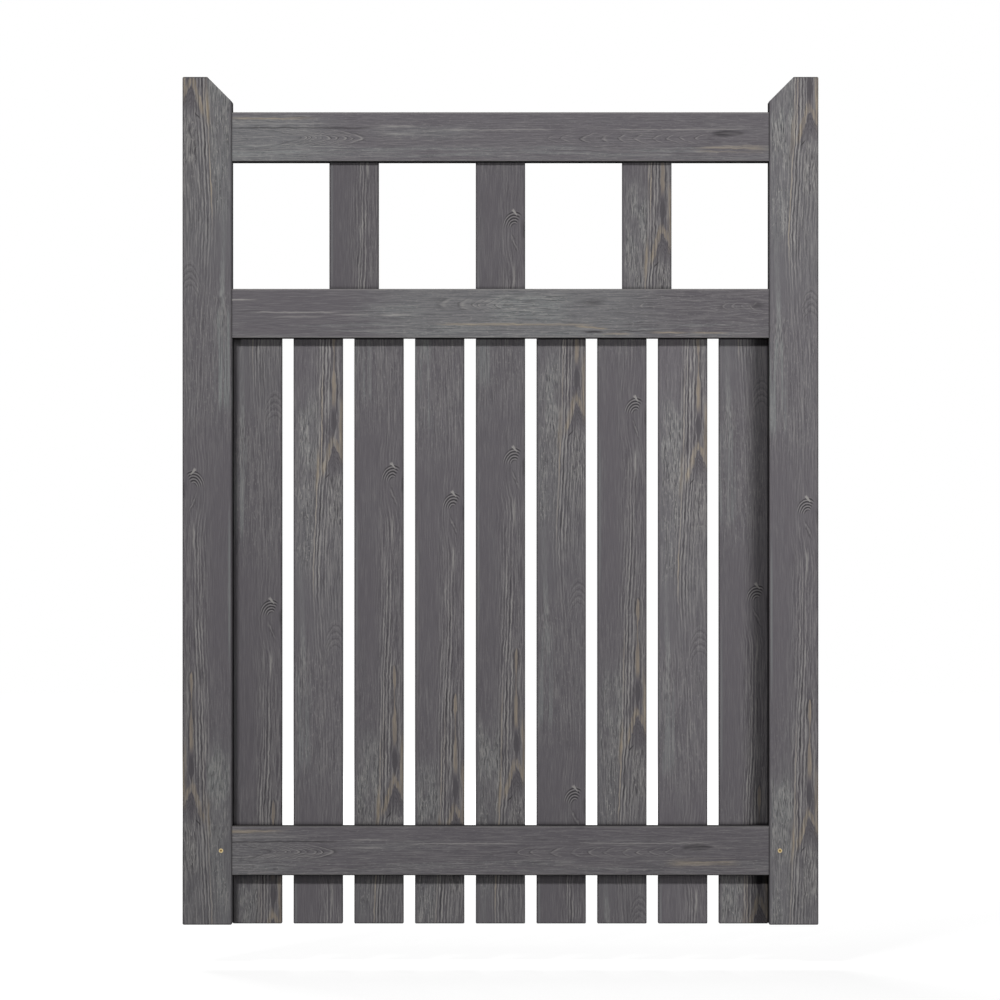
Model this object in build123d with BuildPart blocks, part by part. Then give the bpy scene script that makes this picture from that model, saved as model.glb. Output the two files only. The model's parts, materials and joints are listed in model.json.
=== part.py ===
from build123d import *
from math import radians, tan
import os

# Garden gate leaf in planed and stained softwood.
# Two stiles with cut-back heads carry three rails on stub tenons. Short slats stand between the
# top and middle rails. Boards hang in a rebate behind the middle rail and run down behind the
# bottom rail to the foot of the gate.
# X runs across the gate from its hinge edge, Y runs from front to back and Z is up.
# The origin is the middle of the hinge edge.

# Frame
GATE_HEIGHT = 1200.0
FRAME_DEPTH = 45.0
STILE_WIDTH = 70.0
RAIL_HEIGHT = 70.0
TOP_RAIL_DROP = 50.0  # head of the stiles down to the top rail
SLAT_HEIGHT = 180.0  # clear height between the top and middle rails
BOTTOM_RAIL_RISE = 70.0  # foot of the stiles up to the bottom rail
HEAD_CUT = 35.0  # width and height of the slope on each stile's inner top corner
ARRIS = 2.0  # rounding along planed edges
END_ARRIS = 1.0  # bevel round the sawn foot of a board

# Boards and slats
BOARD_COUNT = 9
BOARD_WIDTH = 70.0
BOARD_THICKNESS = 18.0
BOARD_GAP = 16.25
REBATE_HEIGHT = 30.0  # how far the boards run up behind the middle rail
SLAT_COUNT = 3
SLAT_WIDTH = 70.0
SLAT_THICKNESS = 18.0

# Tenons
TENON_LENGTH = 45.0
TENON_THICKNESS = 15.0
TENON_SHOULDER = 10.0  # above and below each rail tenon
SLAT_TENON_LENGTH = 15.0
SLAT_TENON_THICKNESS = 10.0
SLAT_TENON_SHOULDER = 8.0  # on both sides of each slat tenon
MORTISE_CLEARANCE = 0.2  # on each side of a tenon
MORTISE_RELIEF = 2.0  # past the end of a tenon

# Screws that hold the bottom rail's tenons
SCREW_SETBACK = 15.5  # inner edge of the stile back to the screw
SCREW_LENGTH = 35.0
SCREW_HEAD_DIAMETER = 7.0
SCREW_SHANK_DIAMETER = 3.5
SCREW_POINT_LENGTH = 4.0
SCREW_CLEARANCE = 0.1
COUNTERSINK_ANGLE = 90.0
RECESS_DIAMETER = 2.0
RECESS_DEPTH = 1.2
LOBE_COUNT = 6
LOBE_DIAMETER = 0.8

# Levels and planes worked out from the sizes above
FRONT = -FRAME_DEPTH / 2
BACK = FRAME_DEPTH / 2
FOOT = -GATE_HEIGHT / 2
HEAD = GATE_HEIGHT / 2
FRONT_FACE = Plane.XZ.offset(-FRONT)
BOARD_FRONT = BACK - BOARD_THICKNESS

BOARD_PITCH = BOARD_WIDTH + BOARD_GAP
CLEAR_WIDTH = BOARD_COUNT * BOARD_PITCH - BOARD_GAP
GATE_WIDTH = CLEAR_WIDTH + 2 * STILE_WIDTH
CENTRE_PLANE = Plane.YZ.offset(GATE_WIDTH / 2)

TOP_RAIL_BASE = HEAD - TOP_RAIL_DROP - RAIL_HEIGHT
MIDDLE_RAIL_TOP = TOP_RAIL_BASE - SLAT_HEIGHT
MIDDLE_RAIL_BASE = MIDDLE_RAIL_TOP - RAIL_HEIGHT
BOTTOM_RAIL_BASE = FOOT + BOTTOM_RAIL_RISE
BOTTOM_RAIL_DEPTH = BOARD_FRONT - FRONT
BOARD_TOP = MIDDLE_RAIL_BASE + REBATE_HEIGHT

# All three rails are mortised on one gauge line, with the tenon's back face on the boards' front
TENON_HEIGHT = RAIL_HEIGHT - 2 * TENON_SHOULDER
TENON_CENTRE = BOARD_FRONT - TENON_THICKNESS / 2

SLAT_GAP = (CLEAR_WIDTH - SLAT_COUNT * SLAT_WIDTH) / (SLAT_COUNT + 1)
SLAT_PITCH = SLAT_WIDTH + SLAT_GAP
FIRST_SLAT = STILE_WIDTH + SLAT_GAP + SLAT_WIDTH / 2
SLAT_CENTRES = [(FIRST_SLAT + index * SLAT_PITCH, 0) for index in range(SLAT_COUNT)]
SLAT_TENON_WIDTH = SLAT_WIDTH - 2 * SLAT_TENON_SHOULDER
SLAT_MORTISE_WIDTH = SLAT_TENON_WIDTH + 2 * MORTISE_CLEARANCE
SLAT_MORTISE_THICKNESS = SLAT_TENON_THICKNESS + 2 * MORTISE_CLEARANCE
SLAT_MORTISE_DEPTH = SLAT_TENON_LENGTH + MORTISE_RELIEF

SCREW_PLACE = STILE_WIDTH - SCREW_SETBACK
SCREW_LEVEL = BOTTOM_RAIL_BASE + RAIL_HEIGHT / 2
SCREW_END = FRONT + SCREW_LENGTH
SCREW_HOLE_RADIUS = SCREW_SHANK_DIAMETER / 2 + SCREW_CLEARANCE
SCREW_HEAD_FLARE = (SCREW_HEAD_DIAMETER - SCREW_SHANK_DIAMETER) / 2
SCREW_HEAD_HEIGHT = SCREW_HEAD_FLARE / tan(radians(COUNTERSINK_ANGLE / 2))


def rail_blank(base, depth):
    """A rail with a tenon at each end, its front flush with the stiles."""
    with BuildPart() as blank:
        with BuildSketch(Plane.YZ.offset(STILE_WIDTH)):
            with Locations((FRONT + depth / 2, base + RAIL_HEIGHT / 2)):
                RectangleRounded(depth, RAIL_HEIGHT, ARRIS)
        extrude(amount=CLEAR_WIDTH)
        with BuildSketch(Plane.YZ.offset(STILE_WIDTH - TENON_LENGTH)):
            with Locations((TENON_CENTRE, base + RAIL_HEIGHT / 2)):
                Rectangle(TENON_THICKNESS, TENON_HEIGHT)
        extrude(amount=CLEAR_WIDTH + 2 * TENON_LENGTH)
    return blank.part


def save(piece, name):
    """Label a finished piece and write it as a node of its own."""
    piece.label = name
    export_step(piece, f"parts/{name}.step")


os.makedirs("parts", exist_ok=True)

# Stiles: a slope cut off the inner top corner, three mortises and the seat of the tenon screw
with BuildPart() as left_stile:
    with BuildSketch(Plane.XZ):
        with BuildLine():
            Polyline(
                (0, FOOT),
                (STILE_WIDTH, FOOT),
                (STILE_WIDTH, HEAD - HEAD_CUT),
                (STILE_WIDTH - HEAD_CUT, HEAD),
                (0, HEAD),
                close=True,
            )
        make_face()
    extrude(amount=FRAME_DEPTH / 2, both=True)
    fillet(left_stile.edges(), ARRIS)
    with BuildSketch(Plane.YZ.offset(STILE_WIDTH)):
        for base in (TOP_RAIL_BASE, MIDDLE_RAIL_BASE, BOTTOM_RAIL_BASE):
            with Locations((TENON_CENTRE, base + RAIL_HEIGHT / 2)):
                Rectangle(
                    TENON_THICKNESS + 2 * MORTISE_CLEARANCE,
                    TENON_HEIGHT + 2 * MORTISE_CLEARANCE,
                )
    extrude(amount=-TENON_LENGTH - MORTISE_RELIEF, mode=Mode.SUBTRACT)
    with Locations(FRONT_FACE.location * Location((SCREW_PLACE, SCREW_LEVEL, 0))):
        CounterSinkHole(
            radius=SCREW_HOLE_RADIUS,
            counter_sink_radius=SCREW_HEAD_DIAMETER / 2 + SCREW_CLEARANCE,
            depth=SCREW_LENGTH + SCREW_CLEARANCE,
            counter_sink_angle=COUNTERSINK_ANGLE,
        )
save(left_stile.part, "left_stile")

with BuildPart() as right_stile:
    mirror(left_stile.part, about=CENTRE_PLANE)
save(right_stile.part, "right_stile")

# Top rail: mortised underneath for the slats
with BuildPart() as top_rail:
    add(rail_blank(TOP_RAIL_BASE, FRAME_DEPTH))
    with BuildSketch(Plane.XY.offset(TOP_RAIL_BASE)):
        with Locations(*SLAT_CENTRES):
            Rectangle(SLAT_MORTISE_WIDTH, SLAT_MORTISE_THICKNESS)
    extrude(amount=SLAT_MORTISE_DEPTH, mode=Mode.SUBTRACT)
save(top_rail.part, "top_rail")

# Middle rail: mortised on top for the slats, rebated along its lower back edge for the boards
with BuildPart() as middle_rail:
    add(rail_blank(MIDDLE_RAIL_BASE, FRAME_DEPTH))
    with BuildSketch(Plane.XY.offset(MIDDLE_RAIL_TOP)):
        with Locations(*SLAT_CENTRES):
            Rectangle(SLAT_MORTISE_WIDTH, SLAT_MORTISE_THICKNESS)
    extrude(amount=-SLAT_MORTISE_DEPTH, mode=Mode.SUBTRACT)
    with BuildSketch(Plane.YZ.offset(STILE_WIDTH)):
        with Locations((BOARD_FRONT, MIDDLE_RAIL_BASE)):
            Rectangle(BOARD_THICKNESS, REBATE_HEIGHT, align=(Align.MIN, Align.MIN))
    extrude(amount=CLEAR_WIDTH, mode=Mode.SUBTRACT)
save(middle_rail.part, "middle_rail")

# Bottom rail: thinner, so that the boards pass behind it, with a screw hole through each tenon
with BuildPart() as bottom_rail:
    add(rail_blank(BOTTOM_RAIL_BASE, BOTTOM_RAIL_DEPTH))
    with BuildSketch(FRONT_FACE):
        with Locations((SCREW_PLACE, SCREW_LEVEL), (GATE_WIDTH - SCREW_PLACE, SCREW_LEVEL)):
            Circle(SCREW_HOLE_RADIUS)
    extrude(amount=-BOTTOM_RAIL_DEPTH, mode=Mode.SUBTRACT)
save(bottom_rail.part, "bottom_rail")

# Upper slats: centred in the depth of the frame, with a stub tenon at each end
for index, centre in enumerate(SLAT_CENTRES):
    with BuildPart() as slat:
        with BuildSketch(Plane.XY.offset(MIDDLE_RAIL_TOP)):
            with Locations(centre):
                RectangleRounded(SLAT_WIDTH, SLAT_THICKNESS, ARRIS)
        extrude(amount=SLAT_HEIGHT)
        with BuildSketch(Plane.XY.offset(MIDDLE_RAIL_TOP - SLAT_TENON_LENGTH)):
            with Locations(centre):
                Rectangle(SLAT_TENON_WIDTH, SLAT_TENON_THICKNESS)
        extrude(amount=SLAT_HEIGHT + 2 * SLAT_TENON_LENGTH)
    save(slat.part, f"upper_slat_{index + 1}")

# Lower boards: from the foot of the gate up into the middle rail's rebate, flush with the back
for index in range(BOARD_COUNT):
    with BuildPart() as board:
        with BuildSketch(Plane.XY.offset(FOOT)):
            with Locations((STILE_WIDTH + index * BOARD_PITCH, BOARD_FRONT)):
                RectangleRounded(BOARD_WIDTH, BOARD_THICKNESS, ARRIS, align=(Align.MIN, Align.MIN))
        extrude(amount=BOARD_TOP - FOOT)
        chamfer(board.edges().group_by(Axis.Z)[0], END_ARRIS)
    save(board.part, f"board_{index + 1}")

# Tenon screws: countersunk head flush with the stile, star recess, plain shank and a point
with BuildPart() as left_tenon_screw:
    with BuildSketch(Plane.XY.offset(SCREW_LEVEL)):
        with BuildLine():
            Polyline(
                (SCREW_PLACE, FRONT),
                (SCREW_PLACE + SCREW_HEAD_DIAMETER / 2, FRONT),
                (SCREW_PLACE + SCREW_SHANK_DIAMETER / 2, FRONT + SCREW_HEAD_HEIGHT),
                (SCREW_PLACE + SCREW_SHANK_DIAMETER / 2, SCREW_END - SCREW_POINT_LENGTH),
                (SCREW_PLACE, SCREW_END),
                close=True,
            )
        make_face()
    revolve(axis=Axis((SCREW_PLACE, 0, SCREW_LEVEL), (0, 1, 0)))
    with BuildSketch(FRONT_FACE):
        with Locations((SCREW_PLACE, SCREW_LEVEL)):
            Circle(RECESS_DIAMETER / 2)
            with PolarLocations(RECESS_DIAMETER / 2, LOBE_COUNT):
                Circle(LOBE_DIAMETER / 2)
    extrude(amount=-RECESS_DEPTH, mode=Mode.SUBTRACT)
save(left_tenon_screw.part, "left_tenon_screw")

with BuildPart() as right_tenon_screw:
    mirror(left_tenon_screw.part, about=CENTRE_PLANE)
save(right_tenon_screw.part, "right_tenon_screw")
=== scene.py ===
"""Garden gate leaf: stain, grain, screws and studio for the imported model.

The frame, slats and boards keep their built shapes and get a brushed, grey stained softwood finish.
The small screws that hold the boards are modelled here, on the back of the gate.
"""

import json
import math

import bmesh
import bpy
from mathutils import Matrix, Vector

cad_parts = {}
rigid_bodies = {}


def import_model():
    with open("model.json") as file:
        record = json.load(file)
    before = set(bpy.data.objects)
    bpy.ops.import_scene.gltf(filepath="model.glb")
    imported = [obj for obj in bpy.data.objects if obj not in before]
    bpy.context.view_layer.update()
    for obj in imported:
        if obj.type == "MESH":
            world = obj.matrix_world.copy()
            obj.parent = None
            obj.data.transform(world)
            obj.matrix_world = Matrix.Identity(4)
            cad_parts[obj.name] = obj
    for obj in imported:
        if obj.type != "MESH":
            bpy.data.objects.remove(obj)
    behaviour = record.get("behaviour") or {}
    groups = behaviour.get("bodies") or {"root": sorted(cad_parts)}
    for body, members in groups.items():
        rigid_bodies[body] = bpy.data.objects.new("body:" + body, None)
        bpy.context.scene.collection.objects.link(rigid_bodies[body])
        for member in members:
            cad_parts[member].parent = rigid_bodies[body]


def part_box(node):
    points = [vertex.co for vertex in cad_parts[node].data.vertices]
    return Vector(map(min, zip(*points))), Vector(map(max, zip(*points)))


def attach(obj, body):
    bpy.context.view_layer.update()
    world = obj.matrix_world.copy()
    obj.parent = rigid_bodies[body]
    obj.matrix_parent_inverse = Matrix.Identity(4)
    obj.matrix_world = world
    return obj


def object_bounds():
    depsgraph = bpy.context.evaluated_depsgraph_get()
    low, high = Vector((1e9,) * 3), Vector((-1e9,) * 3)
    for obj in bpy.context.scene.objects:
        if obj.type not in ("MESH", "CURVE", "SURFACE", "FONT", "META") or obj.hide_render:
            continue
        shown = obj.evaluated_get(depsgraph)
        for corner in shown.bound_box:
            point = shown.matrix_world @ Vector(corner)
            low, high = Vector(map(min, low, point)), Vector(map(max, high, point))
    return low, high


bl_info = {
    "name": "Garden gate finish",
    "version": (1, 0, 0),
    "blender": (4, 5, 0),
    "location": "View3D > Sidebar > Gate",
    "description": "Stains a garden gate leaf, adds its board screws and sets a studio round it",
    "category": "Object",
}

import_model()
CAD_BOX = [list(corner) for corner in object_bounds()]

BODY = "root"
BOARDS = [f"board_{number}" for number in range(1, 10)]
SLATS = [f"upper_slat_{number}" for number in range(1, 4)]
MM = 1000.0

# Sizes of the figure in mm: the width of a timber's face, and the length after which an upright's
# figure comes again.
FACE = 70.0
REPEAT = 1000.0

# Height of the knot in each upright, in metres from the middle of the gate.
KNOT_HEIGHT = {
    "left_stile": 0.0320,
    "right_stile": -0.0065,
    "upper_slat_1": 0.556,
    "upper_slat_2": 0.3995,
    "upper_slat_3": -0.1785,
    "board_1": -0.151,
    "board_2": -0.478,
    "board_3": 0.0405,
    "board_4": 0.0005,
    "board_5": 0.0645,
    "board_6": -0.4175,
    "board_7": 0.136,
    "board_8": -0.486,
    "board_9": -0.130,
}

# Figure of each rail, and where that figure starts, in metres from the hinge edge.
RAIL_FIGURE = {
    "top_rail": ("rail figure", 0.070),
    "middle_rail": ("middle rail figure", 0.070),
    "bottom_rail": ("rail figure", 0.027),
}

# How much more or less silver a timber is than its figure says.
SILVERED = {"left_stile": 1.7, "right_stile": 1.4, "bottom_rail": 0.5}

# How much lighter or darker each timber took the stain than the common colours.
TONE = {
    "left_stile": 0.985,
    "right_stile": 1.145,
    "top_rail": 1.10,
    "middle_rail": 1.045,
    "bottom_rail": 1.08,
    "upper_slat_1": 0.92,
    "upper_slat_2": 0.96,
    "upper_slat_3": 1.02,
    "board_1": 0.97,
    "board_2": 1.06,
    "board_3": 1.01,
    "board_4": 1.04,
    "board_5": 1.02,
    "board_6": 1.045,
    "board_7": 1.06,
    "board_8": 1.19,
    "board_9": 1.11,
}

# Curves of an upright's figure: places down from the knot in mm, each with a place across in mm
# or a strength.
BUNDLE_LINE = [
    (0, 45), (27, 44.6), (54, 48), (78, 51), (125, 50), (180, 50), (230, 48.5), (260, 47), (285, 45.6),
    (330, 44.8), (380, 43.6), (430, 43), (470, 42.4), (490, 41.5), (505, 40), (545, 38.4), (590, 36),
    (620, 34.8), (650, 34.8), (690, 36.6), (720, 38), (760, 41), (850, 45), (947, 47), (983, 44),
    (REPEAT, 45),
]
BUNDLE_STRENGTH = [
    (0, 0.12), (45, 0.2), (75, 0.5), (130, 0.65), (220, 0.85), (300, 1.0), (590, 1.0), (650, 0.75),
    (690, 0.4), (760, 0.22), (900, 0.2), (REPEAT, 0.12),
]
ISLAND_SWELL = [
    (0, 0), (268, 0), (277, 1.2), (291, 2.3), (305, 1.3), (318, 0.7), (328, 0.8), (341, 1.8), (361, 2.9),
    (377, 2.8), (390, 2.7), (400, 3.3), (409, 4.0), (422, 2.2), (432, 0.7), (437, 0), (REPEAT, 0),
]
PALE_LINE = [(0, 11), (600, 10.5), (680, 12), (745, 14), (800, 13), (REPEAT, 12)]
PALE_STRENGTH = [
    (0, 0), (595, 0), (625, 0.2), (690, 0.4), (735, 1.0), (762, 0.5), (790, 0.2), (880, 0.15), (910, 0),
    (REPEAT, 0),
]

# The rings of the bundle across its 40 mm: 0 is a dark line, 1 a pale one.
BUNDLE_WIDTH = 40.0
RINGS = [
    (0, 0.5), (5, 0.5), (7.4, 0.40), (9, 0.70), (10.7, 0.33), (12.3, 0.52), (13.7, 0.85), (15.3, 0.26),
    (17, 1.0), (19, 0.0), (21.7, 0.95), (24, 0.18), (26.3, 0.78), (28, 0.2), (30, 0.7), (32.5, 0.35),
    (35, 0.6), (38, 0.45), (BUNDLE_WIDTH, 0.5),
]

# Tips of the ring points along the rails, in mm from where the figure starts.
RAIL_RIGHT_TIPS = [97, 106, 112, 122, 129, 141, 150, 163, 172, 190]
RAIL_LEFT_TIPS = [446, 465, 492, 520, 544, 567, 594, 616, 635, 657, 672]
MIDDLE_TIPS = [291, 319, 341, 350, 360, 371, 383]
MIDDLE_SMALL_TIPS = [565, 576, 588]
MIDDLE_END_TIPS = [694, 706, 720, 732, 745]

# Colours of painted shade on the wood, of open seams with the painted shade beside and under them, and of
# painted shade in a screw's recess.
SHADE_COLOUR = (0.012, 0.011, 0.012, 1.0)
SEAM_AND_SHADE_COLOUR = (0.004, 0.004, 0.004, 1.0)
RECESS_SHADE_COLOUR = (0.13, 0.07, 0.02, 1.0)

# Half width in metres of the level band of painted shade under the rails and over the bottom rail: none on
# the stiles, whose own seams and painted shade stand upright.
NO_LEVEL_SHADE = 0.00001
BOARD_LEVEL_SHADE = 0.0017
RAIL_LEVEL_SHADE = 0.0020

# Board screws, in metres.
SCREW_SIDES = 24
SCREW_DEPTH = 0.004
SCREW_BEVEL = 0.0003
RECESS_DEPTH = 0.0014

# Floor: its size in metres, its greys under the lamps, and its whites to the camera near the gate
# and far off, with the distances of both.
FLOOR_SIZE = 24.0
FLOOR_GREYS = (0.27, 0.27, 0.27, 1.0), (0.29, 0.29, 0.29, 1.0)
FLOOR_WHITES = (0.82, 0.82, 0.82, 1.0), (0.97, 0.97, 0.97, 1.0)
FLOOR_NEAR = 2.5
FLOOR_FAR = 5.5

# Lamps: the direction from the gate, then the distance and the size in metres.
KEY_LAMP = (-0.35, -1.0, 0.45), 7.0, (1.3, 0.45)
SIDE_LAMP = (1.07, -1.0, -0.05), 4.5, (1.9, 1.2)
REAR_LAMP = (-0.35, 1.0, 0.55), 6.0, (2.5, 1.5)

# Width of the camera's sensor in mm.
SENSOR = 36.0


class Value:
    """One socket of a node tree, which can be used in plain arithmetic."""

    def __init__(self, tree, socket):
        self.tree = tree
        self.socket = socket

    def __add__(self, other):
        return calc("ADD", self, other)

    def __radd__(self, other):
        return calc("ADD", self, other)

    def __sub__(self, other):
        return calc("SUBTRACT", self, other)

    def __rsub__(self, other):
        return calc("SUBTRACT", other, self)

    def __mul__(self, other):
        return calc("MULTIPLY", self, other)

    def __rmul__(self, other):
        return calc("MULTIPLY", self, other)

    def __truediv__(self, other):
        return calc("DIVIDE", self, other)


def feed(tree, socket, term):
    """Link a value to a socket, or set the socket to a plain number or colour."""
    if isinstance(term, Value):
        tree.links.new(term.socket, socket)
    else:
        socket.default_value = term


def calc(operation, *terms):
    """Add a Math node and give its result."""
    tree = next(term.tree for term in terms if isinstance(term, Value))
    node = tree.nodes.new("ShaderNodeMath")
    node.operation = operation
    for socket, term in zip(node.inputs, terms):
        feed(tree, socket, term)
    return Value(tree, node.outputs[0])


def rise(value, start, end):
    """Go smoothly from 0 at start to 1 at end."""
    node = value.tree.nodes.new("ShaderNodeMapRange")
    node.interpolation_type = "SMOOTHSTEP"
    feed(value.tree, node.inputs["Value"], value)
    node.inputs["From Min"].default_value = start
    node.inputs["From Max"].default_value = end
    return Value(value.tree, node.outputs["Result"])


def window(value, start, end, soft):
    """Be 1 between start and end, and fade to 0 over soft at both ends."""
    return rise(value, start - soft, start + soft) * rise(value, end + soft, end - soft)


def bell(value, middle, half):
    """Be 1 at middle, and fade to 0 at half to each side."""
    return rise(calc("ABSOLUTE", value - middle), half, 0.0)


def drawn(value, length, top, points):
    """Follow a listed curve: points are pairs of a place along length and a height up to top."""
    node = value.tree.nodes.new("ShaderNodeFloatCurve")
    curve = node.mapping.curves[0]
    pairs = [(place / length, height / top) for place, height in points]
    curve.points[0].location = pairs[0]
    curve.points[1].location = pairs[-1]
    for place, height in pairs[1:-1]:
        curve.points.new(place, height)
    node.mapping.extend = "HORIZONTAL"
    node.mapping.update()
    feed(value.tree, node.inputs["Value"], value / length)
    return Value(value.tree, node.outputs["Value"]) * top


def vector_calc(operation, first, second):
    """Add a Vector Math node and give its result."""
    node = first.tree.nodes.new("ShaderNodeVectorMath")
    node.operation = operation
    feed(first.tree, node.inputs[0], first)
    feed(first.tree, node.inputs[1], second)
    return Value(first.tree, node.outputs[0])


def vector(x, y, z):
    """Join three values to a vector."""
    tree = next(term.tree for term in (x, y, z) if isinstance(term, Value))
    node = tree.nodes.new("ShaderNodeCombineXYZ")
    for socket, term in zip(node.inputs, (x, y, z)):
        feed(tree, socket, term)
    return Value(tree, node.outputs[0])


def parts(place):
    """Split a vector to its three values."""
    node = place.tree.nodes.new("ShaderNodeSeparateXYZ")
    feed(place.tree, node.inputs[0], place)
    return [Value(place.tree, socket) for socket in node.outputs]


def noise(x, y, z, detail=1.0):
    """Soft noise from 0 to 1 with a mean of a half."""
    place = vector(x, y, z)
    node = place.tree.nodes.new("ShaderNodeTexNoise")
    feed(place.tree, node.inputs["Vector"], place)
    node.inputs["Scale"].default_value = 1.0
    node.inputs["Detail"].default_value = detail
    return Value(place.tree, node.outputs["Fac"])


def blend(factor, first, second):
    """Mix two colours."""
    node = factor.tree.nodes.new("ShaderNodeMix")
    node.data_type = "RGBA"
    feed(factor.tree, node.inputs[0], factor)
    feed(factor.tree, node.inputs[6], first)
    feed(factor.tree, node.inputs[7], second)
    return Value(factor.tree, node.outputs[2])


def new_group(name, inputs, outputs):
    """Make a shader node group with named sockets: give its tree, its input values and its output node."""
    tree = bpy.data.node_groups.new(name, "ShaderNodeTree")
    for socket, kind in inputs:
        tree.interface.new_socket(socket, in_out="INPUT", socket_type=kind)
    for socket, kind in outputs:
        tree.interface.new_socket(socket, in_out="OUTPUT", socket_type=kind)
    source = tree.nodes.new("NodeGroupInput")
    result = tree.nodes.new("NodeGroupOutput")
    return tree, {socket: Value(tree, source.outputs[socket]) for socket, _ in inputs}, result


def place_group(tree, name, terms):
    """Put a group in a tree, made at its first use, feed its inputs and give its outputs by name."""
    if name not in bpy.data.node_groups:
        GROUP_MAKERS[name]()
    node = tree.nodes.new("ShaderNodeGroup")
    node.node_tree = bpy.data.node_groups[name]
    for socket, term in terms.items():
        feed(tree, node.inputs[socket], term)
    return {socket.name: Value(tree, socket) for socket in node.outputs}


def sockets(kind, *names):
    """Pairs of socket names with their one kind."""
    return [(name, f"NodeSocket{kind}") for name in names]


FIGURE_INPUTS = sockets("Vector", "Place") + sockets("Float", "Seed")
FIGURE_OUTPUTS = sockets("Float", "Light", "Dark", "Bare", "Silver", "Rough")


def most(*terms):
    """The largest of several values."""
    result = terms[0]
    for term in terms[1:]:
        result = calc("MAXIMUM", result, term)
    return result


def streak(side, run, middle, half, start, end, soft=15.0):
    """One long streak along the grain."""
    return bell(side, middle, half) * window(run, start, end, soft)


def points_of_grain(side, run, middle, reach, lean, width, marks, broken):
    """Nested points of the rings that run out on the face: a thin dark line for each mark, pale inside."""
    off = side - middle
    spread = calc("SQRT", off * off + 5.0) - 2.2
    line = run + spread * lean + (noise(side * 0.13, run * 0.022, 3.7, 1.0) - 0.5) * 16.0
    last = float(len(marks))
    low, high = marks[0] - 10.0, marks[-1] + 10.0
    steps = [(mark - low, place + 0.5) for place, mark in enumerate(marks)]
    count = drawn(line - low, high - low, last, steps)
    turn = calc("FRACT", count)
    inside = rise(calc("ABSOLUTE", off), reach, reach * 0.4) * broken
    inside = inside * window(line, low + 8.0, high - 8.0, 8.0)
    dark = bell(turn, 0.5, width) * inside
    light = bell(turn, 0.5 - math.copysign(1.7 * width, lean), 1.6 * width) * inside
    return light, dark


def give(tree, result, **values):
    """Link the results of a group."""
    for name, value in values.items():
        tree.links.new(value.socket, result.inputs[name])


def start_figure(name):
    """Begin a figure: give its tree, result and seed, the places across and along, two slow wanderings
    and the place across that wanders with them."""
    tree, given, result = new_group(name, FIGURE_INPUTS, FIGURE_OUTPUTS)
    across, run, depth = parts(given["Place"])
    seed = given["Seed"]
    sway = noise(across * 0.03, run * 0.006, seed, 1.0) - 0.5
    shake = noise(across * 0.16, run * 0.075, seed + 3.0, 1.0) - 0.5
    side = across + sway * 2.4 + shake * 2.8 + depth * 0.8
    return tree, result, seed, across, run, sway, shake, side


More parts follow.
